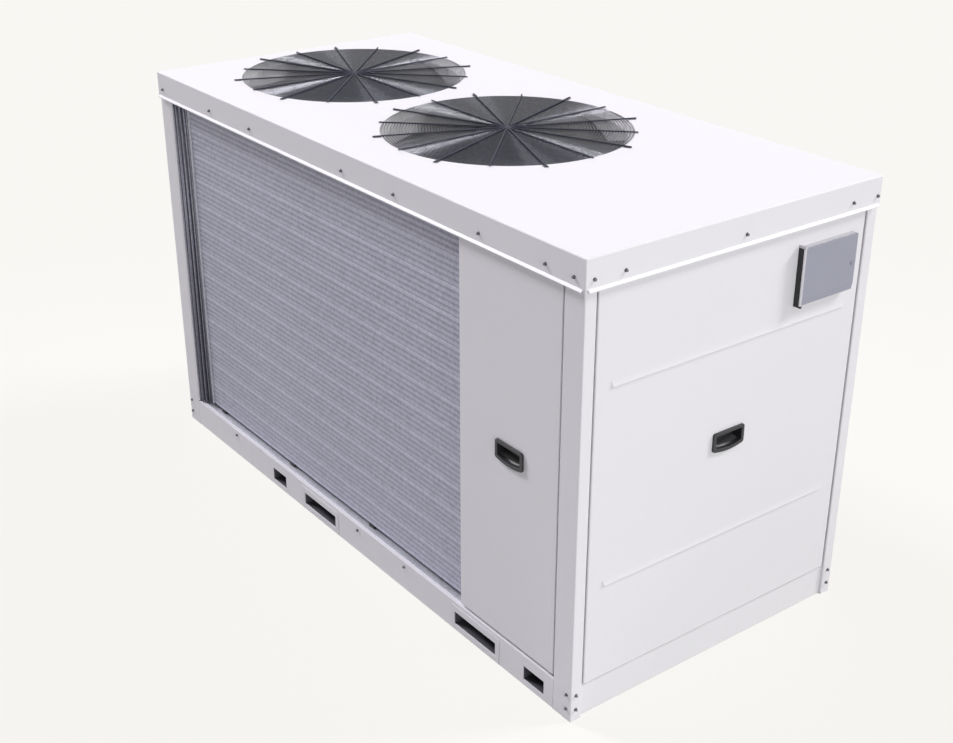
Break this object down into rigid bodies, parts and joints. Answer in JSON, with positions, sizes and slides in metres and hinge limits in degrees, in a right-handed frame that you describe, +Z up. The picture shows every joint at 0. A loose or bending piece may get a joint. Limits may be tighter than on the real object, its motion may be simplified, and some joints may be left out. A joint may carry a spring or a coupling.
{
  "type": "air source heat pump",
  "caption": "Air source heat pump in a closed metal cabinet, with a finned coil on each long side and axial fans that blow up through the roof.",
  "frame": {"origin": "on the floor, under the middle of the whole outline", "axes": "+Z up, +X along the cabinet towards the machine compartment and the controller, +Y across towards the rear coil"},
  "size_m": [2.5577, 1.2, 1.506],
  "materials": {
    "white_paint": "satin powder coat, off-white",
    "black_plastic": "moulded, matt black",
    "grey_plastic": "moulded, blue-grey",
    "fin_aluminium": "corrugated fins",
    "galvanised_steel": "galvanised sheet",
    "rubber": "matt",
    "black_wire": "semi-gloss black coating",
    "fan_plastic": "moulded blades",
    "motor_grey": "painted casting"
  },
  "bodies": {
    "cabinet": {"base_tray": "galvanised_steel", "bulkhead": "galvanised_steel", "controller_box": "black_plastic", "controller_keypad": "grey_plastic", "corner_post_front_left": "white_paint", "corner_post_front_right": "white_paint", "corner_post_rear_left": "white_paint", "corner_post_rear_right": "white_paint", "fan_guard_left": "black_wire", "fan_guard_right": "black_wire", "fan_motor_left": "motor_grey", "fan_motor_right": "motor_grey", "fan_ring_left": "white_paint", "fan_ring_right": "white_paint", "fork_pocket_left": "white_paint", "fork_pocket_right": "white_paint", "front_base_rail": "white_paint", "front_coil": "fin_aluminium", "front_coil_baffle": "galvanised_steel", "front_coil_end_plates": "galvanised_steel", "front_coil_pads": "rubber", "front_handle": "black_plastic", "front_panel": "white_paint", "left_end_handle": "black_plastic", "left_end_panel": "white_paint", "left_end_rail": "white_paint", "lifting_tube_left": "galvanised_steel", "lifting_tube_right": "galvanised_steel", "motor_bracket_left": "galvanised_steel", "motor_bracket_right": "galvanised_steel", "rear_base_rail": "white_paint", "rear_coil": "fin_aluminium", "rear_coil_baffle": "galvanised_steel", "rear_coil_end_plates": "galvanised_steel", "rear_coil_pads": "rubber", "rear_handle": "black_plastic", "rear_panel": "white_paint", "right_end_handle": "black_plastic", "right_end_panel": "white_paint", "right_end_rail": "white_paint", "roof_cap": "white_paint"},
    "fan_rotor_left": {"fan_rotor_left": "fan_plastic"},
    "fan_rotor_right": {"fan_rotor_right": "fan_plastic"},
    "controller_cover": {"controller_cover": "grey_plastic"}
  },
  "joints": [
    {"name": "fan_left_spin", "type": "hinge", "parent": "cabinet", "child": "fan_rotor_left", "pos_m": [-0.78335, 0, 1.43], "axis": [0, 0, 1], "continuous": true},
    {"name": "fan_right_spin", "type": "hinge", "parent": "cabinet", "child": "fan_rotor_right", "pos_m": [0.16865, 0, 1.43], "axis": [0, 0, 1], "continuous": true},
    {"name": "cover_hinge", "type": "hinge", "parent": "cabinet", "child": "controller_cover", "pos_m": [1.27415, 0.2488, 1.253], "axis": [0, 0, -1], "range_deg": [0, 110]}
  ]
}
